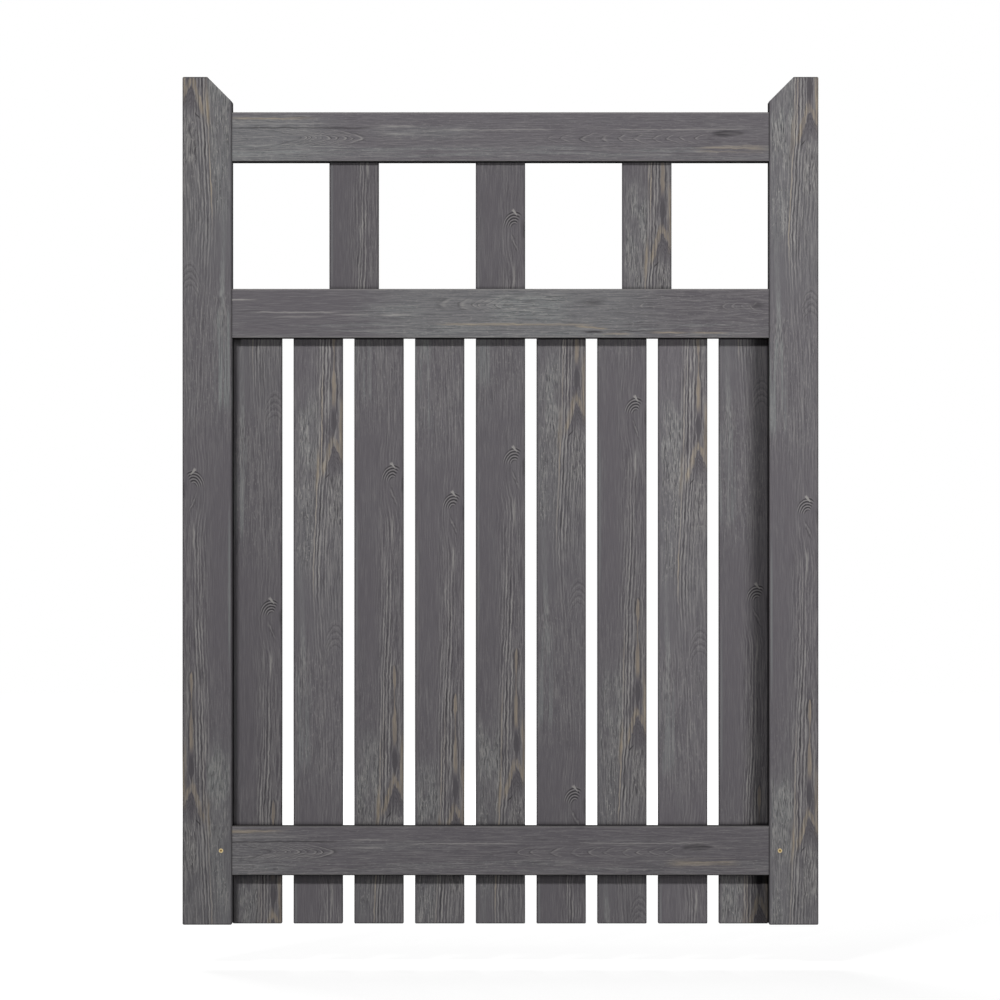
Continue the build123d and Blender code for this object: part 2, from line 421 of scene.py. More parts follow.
def board_figure():
    """Figure of the uprights, down from the knot: a bundle of ring lines, and islands on the heart line."""
    tree, result, seed, across, run, sway, shake, side = start_figure("board figure")
    along = calc("WRAP", run, REPEAT, 0.0)
    near = calc("WRAP", run, REPEAT / 2, -REPEAT / 2)

    # The figure runs on through the thickness at a slant, and its marks stop at the right edge of the face.
    face = rise(side, FACE + 4.0, FACE + 1.0)

    # The bundle of ring lines leans to and fro down the board.
    bundle = drawn(along, REPEAT, FACE, BUNDLE_LINE)
    off = side - bundle
    ring = drawn(off + BUNDLE_WIDTH / 2, BUNDLE_WIDTH, 1.0, RINGS) * 2.0 - 1.0
    strength = drawn(along, REPEAT, 1.0, BUNDLE_STRENGTH)
    broken = 0.25 + rise(noise(off * 0.5, run * 0.035, seed + 7.0, 1.0), 0.34, 0.62) * 0.75
    hair = rise(noise(off * 0.80, run * 0.020, seed + 5.0, 1.0), 0.36, 0.64) - 0.5
    fresh = rise(off, 8.0, 3.0) + rise(along, 230.0, 300.0) * rise(off, 3.0, 8.0)
    hairy_side = rise(side, 22.0, 40.0) * (0.12 + strength * 0.5)
    lines = ring * strength * broken * fresh + hair * (0.03 + hairy_side)

    # Islands of bare wood on the heart line, then a dark one that runs out to a point.
    swell = drawn(along, REPEAT, 20.0, ISLAND_SWELL)
    inside = swell - calc("ABSOLUTE", side - 57.3)
    there = rise(swell, 0.1, 0.8)
    island = rise(inside, -0.4, 0.8) * there
    rim = bell(inside, -1.2, 1.2) * there * rise(along, 402.0, 392.0)
    second = bell(inside, -4.4, 1.8) * there * rise(along, 415.0, 390.0)
    lens = island * rise(along, 394.0, 374.0)
    dark_island = island * rise(along, 386.0, 400.0)

    # The arrow: a dark point that opens downwards, with bare wood on its flanks and a hook at its foot.
    drop = along - 442.0
    right = rise(side, 56.0, 58.0)
    jag = noise(across * 0.40, run * 0.10, seed + 29.0, 1.0) - 0.5
    open_by = drop * (0.29 + right * 0.2) - calc("ABSOLUTE", side - 57.0) + jag * 6.0
    arrow = rise(open_by, -0.6, 0.8) * rise(along, 492.0, 460.0) * rise(along, 441.0, 445.0) * face
    arrow_line = rise(calc("SINE", open_by * 1.9 + sway * 9.0), -0.2, 0.8)
    flank_tone = rise(noise(across * 0.5, run * 0.02, seed + 13.0, 1.0), 0.34, 0.62)
    flank = window(open_by, -7.2, -0.9, 1.3) * window(along, 431.0, 484.0, 9.0)
    flank = flank * (0.3 + flank_tone * 0.6) * face
    hook_off = (side - 48.0) * 0.75 + (along - 487.0) * 0.664
    hook_run = (along - 487.0) * 0.75 - (side - 48.0) * 0.664
    hook = bell(hook_off, 0.0, 1.4) * bell(hook_run, 0.0, 8.5)

    # Knot: dark ripples round a point, a short pale flame above them and leaning lines below.
    fan_x = (side - 55.5) / 0.74
    fan_y = near - 12.5
    reach = calc("SQRT", fan_x * fan_x + fan_y * fan_y)
    turn = calc("ARCTAN2", fan_x, fan_y * -1.0)
    fan = window(turn, -1.45, 0.45, 0.25) * window(reach, 6.0, 23.0, 2.0)
    ripple = calc("SINE", reach * 1.5 + turn * 2.2 + shake * 2.5)
    knot_dark = fan * rise(ripple, -0.1, 0.55) * (0.6 + rise(turn, -1.3, -0.5) * 0.7)
    knot_light = fan * rise(ripple, -0.1, -0.9) * 0.5
    flame_run = (side - 55.2) * 0.605 + (near + 9.0) * 0.796
    flame_off = (side - 55.2) * 0.796 - (near + 9.0) * 0.605
    flame = rise(calc("ABSOLUTE", flame_off) + flame_run * 0.14, 1.9, 0.7)
    flame = flame * window(flame_run, -5.5, 5.5, 1.5)
    knot_light = most(knot_light, flame)
    knot_dark = knot_dark * (1.0 - flame)
    knot_light = most(knot_light, streak(side, near, 54.5, 2.1, 66, 96, 10.0) * 0.8)
    below = side - 48.0 - (near - 24.0) * 0.46 + sway * 6.0 + jag * 5.0
    knot_dark = most(knot_dark, bell(below, 0.0, 1.4) * window(near, 30.0, 47.0, 5.0) * 0.5)
    knot_dark = most(knot_dark, bell(below, 4.5, 1.3) * window(near, 20.0, 40.0, 5.0) * 0.4)
    knot_light = most(knot_light, bell(below, 2.3, 1.3) * window(near, 24.0, 44.0, 5.0) * 0.35)
    spot = rise(side, 64.5, 69.0) * window(near, 6.0, 27.0, 5.0) * face

    # A low arch well below the heart's islands.
    arch_off = side - 60.0
    arch_run = along - arch_off * arch_off * 0.10 + sway * 8.0 + jag * 7.0
    arch_turn = calc("FRACT", arch_run / 9.5)
    arch_part = window(arch_run, 692.0, 730.0, 5.0) * rise(side, 42.0, 50.0) * face
    arch = bell(arch_turn, 0.5, 0.2) * arch_part
    arch_light = bell(arch_turn, 0.9, 0.2) * arch_part

    # Bare lines in the bundle, and at the right edge beside the dark island.
    tone = noise(off * 0.22, run * 0.010, seed + 11.0, 1.0)
    patches = rise(tone, 0.40, 0.6)
    bare_ring = bell(off, -6.4, 1.5) * window(along, 480.0, 640.0, 40.0) * (0.2 + patches * 0.55)
    bare_wide = bell(off, -8.0, 4.0) * window(along, 455.0, 500.0, 18.0) * (0.3 + patches * 0.7)
    bare_side = bell(off, -4.5, 8.0) * most(ring, 0.0) * window(along, 330.0, 480.0, 50.0)
    bare_edge = rise(side, 62.5, 67.5) * window(along, 378.0, 462.0, 18.0) * (0.2 + flank_tone * 0.6) * face
    bare = most(lens * (0.45 + flank_tone * 0.3), flank * 0.85, bare_ring, bare_wide, bare_edge)
    bare = most(bare, bare_side * rise(tone, 0.42, 0.62) * 0.7)

    # Rough silver wood left of the bundle, and pale streaks by the left edge further down.
    nap = noise(side * 0.95, run * 0.07, seed + 17.0, 1.0)
    patch = noise(across * 0.07, run * 0.02, seed + 19.0, 1.0)
    rough = rise(along, 345.0, 420.0) * rise(along, 650.0, 590.0)
    rough = rough * rise(off, -4.0, -12.0) * rise(across, 0.0, 7.0)
    rough = rough * (0.35 + rise(patch, 0.36, 0.58) * 0.65)
    hairy = rough * rise(along, 540.0, 480.0)
    pale_off = calc("ABSOLUTE", side - drawn(along, REPEAT, FACE, PALE_LINE))
    pale = rise(pale_off, 5.0, 1.5) * drawn(along, REPEAT, 1.0, PALE_STRENGTH)
    pale = pale * (0.35 + rise(nap, 0.42, 0.58) * 0.65)
    thin = noise(across * 0.30, run * 0.005, seed + 23.0, 1.0)
    late_pale = window(along, 765.0, 898.0, 14.0) * rise(side, 27.0, 20.0) * rise(thin, 0.46, 0.58)
    edge_pale = bell(across, 3.6, 2.4) * window(near, 60.0, 250.0, 40.0)
    speckle = rise(along, 690.0, 760.0) * rise(along, 980.0, 880.0) * 0.3
    speckle = speckle + window(along, 270.0, 400.0, 60.0) * 0.15
    silver = rough * (0.22 + rise(along, 500.0, 440.0) * 0.35) + pale * 0.65
    silver = silver + late_pale * 0.6 + edge_pale * 0.6 + speckle * 0.2
    silver = silver + window(along, 480.0, 710.0, 60.0) * 0.16
    ruffle = window(along, 484.0, 560.0, 12.0) * rise(off, 7.0, 12.0) * face * 0.8
    tuft = most(hairy, ruffle, window(along, 735.0, 800.0, 12.0) * window(side, 6.0, 24.0, 4.0) * 0.55)
    tuft_light = tuft * rise(nap, 0.50, 0.62)
    tuft_dark = tuft * rise(nap, 0.47, 0.36)

    keep = 1.0 - most(island, arrow * 0.85, fan, flame)
    light = most(lines, 0.0) * keep + knot_light + second * 0.4
    light = light + tuft_light * 0.55 + pale * 0.2 + arch_light * 0.2
    dark = most(lines * -1.0, 0.0) * keep * 0.8 + rim * 0.6 + knot_dark + spot * 0.6 + hook + arch * 0.36
    dark = dark + dark_island * 0.5 + arrow * (0.16 + arrow_line * 0.36) + tuft_dark * 0.5
    rugged = most(rough * 0.8, ruffle, speckle, strength * rise(side, 30.0, 40.0) * 0.3)
    give(tree, result, Light=light, Dark=dark, Bare=bare, Silver=silver * keep, Rough=rugged * keep)


def rail_grain(across, side, run, seed):
    """Grain of all rails: the breaks in the ring points, hair lines, a broad tone and the nap."""
    broken = 0.3 + rise(noise(side * 0.2, run * 0.06, seed + 7.0, 1.0), 0.38, 0.6) * 0.7
    hair = rise(noise(side * 0.66, run * 0.015, seed + 5.0, 1.0), 0.28, 0.72) - 0.5
    tone = noise(side * 0.3, run * 0.008, seed + 11.0, 1.0)
    nap = noise(across * 0.42, run * 0.030, seed + 17.0, 2.0)
    return broken, hair, tone, nap


def rail_figure():
    """Figure of the top and bottom rails: points to the right, streaks, points to the left and an eye."""
    tree, result, seed, across, run, _, _, side = start_figure("rail figure")
    broken, hair, tone, nap = rail_grain(across, side, run, seed)
    right_light, right_dark = points_of_grain(side, run, 37.0, 15.0, 4.2, 0.14, RAIL_RIGHT_TIPS, broken)
    left_light, left_dark = points_of_grain(side, run, 37.0, 9.5, -3.2, 0.085, RAIL_LEFT_TIPS, broken)
    light = most(
        right_light * 0.65,
        left_light * 0.45,
        streak(side, run, 19.5, 2.0, 217, 257) * 0.6,
        streak(side, run, 30.5, 2.6, 217, 255) * 0.5,
        streak(side, run, 25.0, 1.3, 300, 448) * 0.65,
        streak(side, run, 16.0, 1.6, 0, 130) * 0.4,
        streak(side, run, 24.2, 1.2, 545, 720) * 0.6,
    )
    dark = most(right_dark * 0.85, left_dark * 0.6, streak(side, run, 22.5, 1.7, 0, 190) * 0.75)

    eye_run = (run - 702.0) / 24.0
    eye_off = (side - 30.5) / 5.2
    eye = rise(eye_run * eye_run + eye_off * eye_off, 1.2, 0.3) * (0.35 + rise(nap, 0.6, 0.4) * 0.45)

    plain = rise(side, 22.0, 14.0) * window(run, 150.0, 800.0, 30.0)
    lines = hair * (0.22 - plain * 0.16)

    bare = most(
        streak(side, run, 8.0, 3.6, 5, 105, 22.0) * rise(tone, 0.32, 0.55) * 0.7,
        window(side, 48.0, 57.0, 4.0) * window(run, 665.0, 752.0, 16.0) * rise(tone, 0.36, 0.6) * 0.6,
    )
    soft = rise(side, 44.0, 52.0) * rise(side, 70.0, 60.0)
    silver = soft * rise(tone, 0.40, 0.62) * 0.55
    silver = silver + window(run, 205.0, 330.0, 40.0) * bell(side, 28.0, 14.0) * 0.35
    silver = silver + rise(run, 190.0, 60.0) * rise(across, 0.0, 12.0) * 0.55
    keep = 1.0 - eye
    light = light * keep + most(lines, 0.0)
    dark = dark * keep + most(lines * -1.0, 0.0) + eye
    give(tree, result, Light=light, Dark=dark, Bare=bare, Silver=silver, Rough=0.16 + silver * 0.4)


def middle_rail_figure():
    """Figure of the middle rail: long streaks, points to the left, and bare streaks by its lower edge."""
    tree, result, seed, across, run, _, _, side = start_figure("middle rail figure")
    broken, hair, tone, nap = rail_grain(across, side, run, seed)
    left_light, left_dark = points_of_grain(side, run, 22.0, 11.0, -2.0, 0.14, MIDDLE_TIPS, broken)
    small_light, small_dark = points_of_grain(side, run, 24.0, 6.0, -2.2, 0.12, MIDDLE_SMALL_TIPS, broken)
    end_light, end_dark = points_of_grain(side, run, 25.0, 7.0, -2.0, 0.12, MIDDLE_END_TIPS, broken)
    light = most(
        left_light * 0.5,
        small_light * 0.4,
        end_light * 0.45,
        streak(side, run, 15.5, 2.0, -10, 28),
        streak(side, run, 33.0, 1.7, 30, 145) * 0.75,
        streak(side, run, 39.0, 1.6, 67, 128) * 0.6,
        streak(side, run, 36.5, 2.0, 150, 190) * 0.6,
        streak(side, run, 37.5, 2.0, 215, 246) * 0.9,
    )
    dark = most(
        left_dark * 0.5,
        small_dark * 0.25,
        end_dark * 0.45,
        streak(side, run, 61.0, 2.6, 500, 523, 8.0),
        streak(side, run, 60.0, 1.6, 545, 600) * 0.7,
        bell(side, 20.0, 8.0) * window(run, 500.0, 522.0, 10.0) * 0.5,
        bell(side, 24.0, 7.0) * window(run, 735.0, 752.0, 8.0) * 0.6,
    )

    plain = rise(side, 26.0, 18.0) * window(run, 40.0, 260.0, 20.0)
    lines = hair * (0.26 - plain * 0.18)

    slant = side - (run - 520.0) * 0.11
    bare = most(
        streak(side, run, 50.0, 2.4, 300, 500, 20.0) * (0.4 + rise(tone, 0.40, 0.6) * 0.5),
        streak(slant, run, 55.5, 2.2, 488, 528, 8.0),
        streak(side, run, 64.0, 2.6, 530, 560, 12.0) * 0.6,
        streak(side, run, 62.0, 2.2, 597, 640, 14.0) * 0.8,
        streak(side, run, 62.0, 2.2, 656, 696, 14.0) * 0.7,
    )
    rough = most(
        window(run, 175.0, 265.0, 18.0) * window(side, 22.0, 42.0, 5.0) * 0.6,
        window(run, 372.0, 470.0, 22.0) * window(side, 8.0, 44.0, 6.0),
    )
    silver = rough * (0.3 + rise(nap, 0.42, 0.66) * 0.7)
    silver = silver + rise(side, 42.0, 50.0) * rise(tone, 0.44, 0.64) * 0.4
    silver = silver + window(run, 215.0, 590.0, 60.0) * 0.5
    rough_dark = rough * rise(nap, 0.44, 0.30) * 0.5
    light = light + most(lines, 0.0)
    dark = dark + most(lines * -1.0, 0.0) + rough_dark
    worn = 0.05 + silver * 0.5 + rise(run, 520.0, 640.0) * 0.2
    give(tree, result, Light=light, Dark=dark, Bare=bare, Silver=silver, Rough=worn)


def brushed_stain():
    """Stain over a figure, with painted shade at the seams and joints and on the uprights' edges: gives the
    colour, the roughness and the height of the brushed grain in mm.
    """
    tree, given, result = new_group(
        "brushed stain",
        FIGURE_INPUTS
        + FIGURE_OUTPUTS
        + sockets("Float", "Arris", "Seams", "Shade")
        + sockets("Color", "Arris tone", "Ground", "Late", "Pale", "Silver grey", "Bare wood"),
        sockets("Color", "Colour") + sockets("Float", "Roughness", "Height"),
    )
    across, run, depth = parts(given["Place"])
    seed = given["Seed"]
    wave = noise(across * 0.12, run * 0.05, seed * 2.3, 1.0) - 0.5
    thread = across + wave * 3.0
    fibre = noise(thread * 0.85, run * 0.016, depth * 0.6 + seed * 3.1, 1.0)
    fleck = noise(thread * 1.10, run * 0.045, depth * 0.7 + seed * 7.7, 1.0)
    speck = noise(thread * 0.60, run * 0.17, depth * 0.6 + seed * 9.1, 1.0)
    broad = noise(across * 0.06, run * 0.008, depth * 0.06 + seed * 5.3, 1.0)
    worn = calc("MINIMUM", 0.15 + rise(broad, 0.42, 0.62) * 0.08 + given["Rough"], 1.0)

    colour = blend(rise(broad, 0.40, 0.75) * 0.05, given["Ground"], given["Silver grey"])
    colour = blend(given["Silver"] * 0.8, colour, given["Silver grey"])
    colour = blend(rise(fibre, 0.52, 0.70) * 0.40 * worn, colour, given["Pale"])
    colour = blend(rise(fibre, 0.48, 0.30) * 0.38 * worn, colour, given["Late"])
    colour = blend(rise(fleck, 0.53, 0.66) * 0.46 * worn, colour, given["Pale"])
    colour = blend(rise(fleck, 0.46, 0.33) * 0.42 * worn, colour, given["Late"])
    colour = blend(rise(speck, 0.61, 0.69) * 0.75 * given["Rough"], colour, given["Pale"])
    colour = blend(rise(speck, 0.37, 0.28) * 0.6 * given["Rough"], colour, given["Late"])
    colour = blend(calc("MINIMUM", given["Light"], 1.0) * 0.85, colour, given["Pale"])
    colour = blend(given["Bare"] * (0.5 + rise(fleck, 0.35, 0.65) * 0.35), colour, given["Bare wood"])
    colour = blend(calc("MINIMUM", given["Dark"], 1.0) * 0.85, colour, given["Late"])
    # Painted shade on the uprights' rounded edges, which take the dark grain colour; the rails' rounded
    # edges are painted paler.
    colour = blend(given["Arris"] * 0.4, colour, given["Arris tone"])
    # Painted shade and painted shadow, then the dark seams with the painted shade beside and under them.
    colour = blend(given["Shade"], colour, SHADE_COLOUR)
    colour = blend(given["Seams"] * 0.9, colour, SEAM_AND_SHADE_COLOUR)
    roughness = 0.62 + fibre * 0.12 + given["Bare"] * 0.1 - given["Dark"] * 0.05
    give(tree, result, Colour=colour, Roughness=roughness, Height=fibre * 0.3 + fleck * 0.36)


def arris_line():
    """Mask of the rounded long edges of a timber, from its two corners."""
    tree, given, result = new_group(
        "arris line",
        sockets("Vector", "Place", "Low", "High"),
        sockets("Float", "Mask"),
    )
    from_low = vector_calc("SUBTRACT", given["Place"], given["Low"])
    to_high = vector_calc("SUBTRACT", given["High"], given["Place"])
    x, y, z = parts(vector_calc("MINIMUM", from_low, to_high))
    pair = calc("MINIMUM", x, y)
    other = calc("MINIMUM", most(x, y), z)
    give(tree, result, Mask=rise(most(pair, other), 0.0028, 0.0006))


def joint_lines_and_shade():
    """Dark seams where timbers meet with painted shade beside and under them, painted shadow of the stiles,
    and painted shade darker towards the bottom: from places in metres on the gate.
    """
    tree, given, result = new_group(
        "joint lines and shade",
        sockets("Vector", "Place") + sockets("Float", "Level shade", "Joint shade"),
        sockets("Float", "Seams", "Shade"),
    )
    x, y, z = parts(given["Place"])
    left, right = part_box("left_stile")[1][0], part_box("right_stile")[0][0]
    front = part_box("left_stile")[0][1]
    # Painted shade at the upright seams: the dark joint where a board meets a stile, with the stile's inner
    # face shaded, more so further back.
    beside = most(bell(x, left + 0.0007, 0.0012) * 0.6, bell(x, right, 0.0012))
    seams_and_shade = beside * (0.55 + rise(y, front + 0.0006, front + 0.003) * 0.3)
    before = rise(y, 0.016, 0.010)
    # Painted shade under each rail, on its underside and on the front of the boards just below it; tops is
    # painted shade on the boards just above each rail's top.
    tops = 0.0
    for node in RAIL_FIGURE:
        low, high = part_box(node)
        under = calc("ABSOLUTE", z - low[2]) / given["Level shade"]
        seams_and_shade = most(seams_and_shade, rise(under, 1.0, 0.1) * before)
        tops = bell(z, high[2], 0.006) + tops
    # Painted shade on the boards where they meet the top of the bottom rail.
    upper = calc("ABSOLUTE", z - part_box("bottom_rail")[1][2]) / given["Level shade"]
    seams_and_shade = most(seams_and_shade, rise(upper, 1.0, 0.1) * before * 0.55)
    # Painted shadow of the stiles on the boards beside them, wider at the right, and painted shade in the
    # corner under the middle rail by the left stile.
    corner = most(rise(x, left + 0.014, left + 0.004) * 0.05, rise(x, right - 0.036, right - 0.012) * 0.5)
    nook = rise(x, left + 0.016, left + 0.009) * bell(z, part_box("middle_rail")[0][2], 0.013) * 0.75
    # Painted shade: all of the gate darker towards the bottom, where less light falls.
    foot = rise(z, 0.35, -0.65) * 0.16
    shade = most(corner + tops * 0.35, nook) * given["Joint shade"] * before + foot
    give(tree, result, Seams=seams_and_shade, Shade=shade)


GROUP_MAKERS = {
    "board figure": board_figure,
    "rail figure": rail_figure,
    "middle rail figure": middle_rail_figure,
    "brushed stain": brushed_stain,
    "arris line": arris_line,
    "joint lines and shade": joint_lines_and_shade,
}


def new_material(name):
    """Make a node material: give it, its tree, its shader and the place on the piece."""
    material = bpy.data.materials.new(name)
    material.use_nodes = True
    tree = material.node_tree
    coordinates = tree.nodes.new("ShaderNodeTexCoord")
    return material, tree, tree.nodes["Principled BSDF"], Value(tree, coordinates.outputs["Object"])


def add_bump(tree, shader, height, strength, distance):
    """Roughen a shader's surface by a height."""
    bump = tree.nodes.new("ShaderNodeBump")
    bump.inputs["Strength"].default_value = strength
    bump.inputs["Distance"].default_value = distance
    feed(tree, bump.inputs["Height"], height)
    feed(tree, shader.inputs["Normal"], Value(tree, bump.outputs["Normal"]))


def shown(tree):
    """Be 1 for what the camera sees, straight or in metal and glass, and 0 for light on the gate."""
    rays = tree.nodes.new("ShaderNodeLightPath")
    kinds = ("Is Camera Ray", "Is Glossy Ray", "Is Transmission Ray")
    return most(*(Value(tree, rays.outputs[kind]) for kind in kinds))


def toned(colour, tone):
    """A colour made lighter or darker, with its alpha."""
    return (*(part * tone for part in colour), 1.0)


def wood_material(node, figure, location, rotation, scale, seed, level_shade, joint_shade):
    """Brushed and stained softwood for one timber, with its figure laid on it by a Mapping node."""
    stain = bpy.context.scene.gate_stain
    material, tree, shader, spot = new_material(f"stained wood {node}")
    mapping = tree.nodes.new("ShaderNodeMapping")
    mapping.inputs["Location"].default_value = location
    mapping.inputs["Rotation"].default_value = rotation
    mapping.inputs["Scale"].default_value = scale
    feed(tree, mapping.inputs["Vector"], spot)
    place = Value(tree, mapping.outputs["Vector"])

    low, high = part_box(node)
    tone = TONE[node]
    marks = place_group(tree, figure, {"Place": place, "Seed": seed})
    marks["Silver"] = marks["Silver"] * SILVERED.get(node, 1.0)
    arris = place_group(tree, "arris line", {"Place": spot, "Low": low, "High": high})
    # Dark seams with painted shade, painted shadow by the stiles, and painted shade darker towards the
    # bottom.
    seam_and_shade_masks = place_group(tree, "joint lines and shade", {"Place": spot, "Level shade": level_shade, "Joint shade": joint_shade})
    finish = place_group(tree, "brushed stain", {
        "Place": place,
        "Seed": seed,
        **marks,
        **seam_and_shade_masks,
        # Rounded edges: painted shade on the uprights, painted paler on the rails.
        "Arris": arris["Mask"],
        "Arris tone": toned(stain.pale if node in RAIL_FIGURE else stain.late, tone),
        "Ground": toned(stain.ground, tone),
        "Late": toned(stain.late, tone),
        "Pale": toned(stain.pale, tone),
        "Silver grey": toned(stain.silver, tone),
        "Bare wood": toned(stain.bare, tone),
    })
    feed(tree, shader.inputs["Base Color"], finish["Colour"])
    feed(tree, shader.inputs["Roughness"], finish["Roughness"])
    shader.inputs["Specular IOR Level"].default_value = 0.0
    add_bump(tree, shader, finish["Height"], stain.brushing, 0.001)
    return material


def dress(node, material):
    """Give a carried-over timber or screw its material."""
    piece = bpy.data.objects[node]
    if not piece.material_slots:
        raise RuntimeError(f"{node} has no material slot")
    for material_slot in piece.material_slots:
        material_slot.material = material


def stain_upright(node, seed, mirrored=False, stile=False):
    """Stain a timber whose grain runs up and down, with the figure at its own height."""
    low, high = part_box(node)
    side = MM * high[0] if mirrored else -MM * low[0]
    location = (side, MM * KNOT_HEIGHT[node], -MM * low[1])
    scale = (-MM if mirrored else MM, MM, MM)
    turn = (math.pi / 2, 0.0, 0.0)
    # Boards and slats get the level band of painted shade under the rails and the painted shadow and shade
    # at the joints; the stiles get neither.
    level_shade, joint_shade = (NO_LEVEL_SHADE, 0.0) if stile else (BOARD_LEVEL_SHADE, 1.0)
    dress(node, wood_material(node, "board figure", location, turn, scale, seed, level_shade, joint_shade))


def stain_rail(node, seed):
    """Stain a rail, whose grain runs level."""
    low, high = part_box(node)
    figure, start = RAIL_FIGURE[node]
    location = (MM * high[2], -MM * start, -MM * low[1])
    turn = (math.pi / 2, 0.0, -math.pi / 2)
    # Rails get the level band of painted shade on their undersides, and no painted shade at the joints.
    dress(node, wood_material(node, figure, location, turn, (-MM, MM, MM), seed, RAIL_LEVEL_SHADE, 0.0))


def screw_material(name, middle=None):
    """Yellow passivated steel, dulled and scratched; round a middle, painted shade in the recess and a
    stained rim.
    """
    screws = bpy.context.scene.gate_screws
    material, tree, shader, spot = new_material(name)
    x, y, z = parts(spot)
    cloud = noise(x * 700.0, y * 700.0, z * 700.0, 3.0)
    scratch = noise(x * 2600.0, y * 900.0, z * 400.0, 1.0)
    colour = blend(rise(cloud, 0.35, 0.7), (*screws.colour, 1.0), (*screws.dull, 1.0))
    metal = 0.9 - cloud * 0.1
    if middle:
        off, up = (x - middle[0]) * MM, (z - middle[1]) * MM
        reach = calc("SQRT", off * off + up * up) + cloud * 0.4
        stained = rise(reach, 2.9, 3.5) * 0.9
        # Painted shade: brown in the recess round the middle.
        colour = blend(rise(reach, 2.0, 1.4) * 0.85, colour, RECESS_SHADE_COLOUR)
        colour = blend(stained, colour, (*bpy.context.scene.gate_stain.ground, 1.0))
        metal = metal * (1.0 - stained)
    feed(tree, shader.inputs["Base Color"], colour)
    feed(tree, shader.inputs["Roughness"], 0.35 + cloud * 0.2)
    feed(tree, shader.inputs["Metallic"], metal)
    add_bump(tree, shader, scratch, 0.25, 0.0002)
    return material


class GateStain(bpy.types.PropertyGroup):
    """Colours and brushing of the timber."""

    ground: bpy.props.FloatVectorProperty(
        name="Stain", description="Grey of the stain on plain grain", subtype="COLOR", size=3,
        min=0.0, max=1.0, default=(0.112, 0.104, 0.114),
    )
    late: bpy.props.FloatVectorProperty(
        name="Dark grain", description="Colour of the dark growth lines and edges", subtype="COLOR", size=3,
        min=0.0, max=1.0, default=(0.036, 0.034, 0.036),
    )
    pale: bpy.props.FloatVectorProperty(
        name="Pale grain", description="Colour of the pale growth lines", subtype="COLOR", size=3,
        min=0.0, max=1.0, default=(0.285, 0.275, 0.265),
    )
    silver: bpy.props.FloatVectorProperty(
        name="Silver wood", description="Colour of the rough, silvered wood", subtype="COLOR", size=3,
        min=0.0, max=1.0, default=(0.178, 0.186, 0.187),
    )
    bare: bpy.props.FloatVectorProperty(
        name="Bare wood", description="Colour where the stain is brushed off", subtype="COLOR", size=3,
        min=0.0, max=1.0, default=(0.310, 0.258, 0.188),
    )
    brushing: bpy.props.FloatProperty(
        name="Brushing", description="Strength of the brushed grain", subtype="FACTOR",
        min=0.0, max=1.0, default=0.6,
    )


class GateScrews(bpy.types.PropertyGroup):
    """Sizes and colours of the small screws."""

    head: bpy.props.FloatProperty(
        name="Head", description="Diameter of a board screw's head", unit="LENGTH",
        default=0.007, min=0.003,
    )
    proud: bpy.props.FloatProperty(
        name="Stands proud", description="How far the head stands out of the board", unit="LENGTH",
        default=0.0003,
    )
    inset: bpy.props.FloatProperty(
        name="Inset", description="Distance of a screw from the board's side", unit="LENGTH", default=0.015,
    )
    colour: bpy.props.FloatVectorProperty(
        name="Colour", description="Yellow of the clean steel", subtype="COLOR", size=3,
        min=0.0, max=1.0, default=(0.44, 0.35, 0.18),
    )
    dull: bpy.props.FloatVectorProperty(
        name="Dulled", description="Yellow of the dulled steel", subtype="COLOR", size=3,
        min=0.0, max=1.0, default=(0.30, 0.235, 0.12),
    )


class GateStage(bpy.types.PropertyGroup):
    """Studio round the gate."""

    distance: bpy.props.FloatProperty(
        name="Camera distance", description="From the camera to the front of the gate", unit="LENGTH",
        default=8.5,
    )
    view_width: bpy.props.FloatProperty(
        name="View width", description="Width seen at the front of the gate", unit="LENGTH", default=1.415,
    )
    aside: bpy.props.FloatProperty(
        name="Camera aside", description="Camera's place right of the middle", unit="LENGTH",
        default=-0.00065,
    )
    above: bpy.props.FloatProperty(
        name="Camera above", description="Camera's place above the middle", unit="LENGTH", default=0.0012,
    )
    clearance: bpy.props.FloatProperty(
        name="Ground clearance", description="From the foot of the gate down to the floor", unit="LENGTH",
        default=0.06,
    )
    key: bpy.props.FloatProperty(
        name="Key light", description="Power of the high light at the left", unit="POWER", default=362.0,
    )
    side: bpy.props.FloatProperty(
        name="Side light", description="Power of the broad light at the right", unit="POWER", default=80.0,
    )
    rear: bpy.props.FloatProperty(
        name="Rear light", description="Power of the broad light behind the gate", unit="POWER",
        default=300.0,
    )
    ambient: bpy.props.FloatProperty(
        name="Ambient", description="Brightness of the room", subtype="FACTOR",
        min=0.0, max=1.0, default=0.10,
    )


class GATE_OT_stain_stiles(bpy.types.Operator):
    """Stain the two stiles; the left one has its figure mirrored"""

    bl_idname = "gate.stain_stiles"
    bl_label = "Stain stiles"

    def execute(self, context):
        stain_upright("left_stile", 1.0, mirrored=True, stile=True)
        stain_upright("right_stile", 2.0, stile=True)
        return {"FINISHED"}


class GATE_OT_stain_rails(bpy.types.Operator):
    """Stain the three rails"""

    bl_idname = "gate.stain_rails"
    bl_label = "Stain rails"

    def execute(self, context):
        for number, node in enumerate(RAIL_FIGURE):
            stain_rail(node, 40.0 + number)
        return {"FINISHED"}


class GATE_OT_stain_slats(bpy.types.Operator):
    """Stain the short slats of the upper opening"""

    bl_idname = "gate.stain_slats"
    bl_label = "Stain slats"

    def execute(self, context):
        for number, node in enumerate(SLATS):
            stain_upright(node, 20.0 + number)
        return {"FINISHED"}


class GATE_OT_stain_boards(bpy.types.Operator):
    """Stain the nine boards of the lower part"""

    bl_idname = "gate.stain_boards"
    bl_label = "Stain boards"

    def execute(self, context):
        for number, node in enumerate(BOARDS):
            stain_upright(node, 5.0 + number)
        return {"FINISHED"}


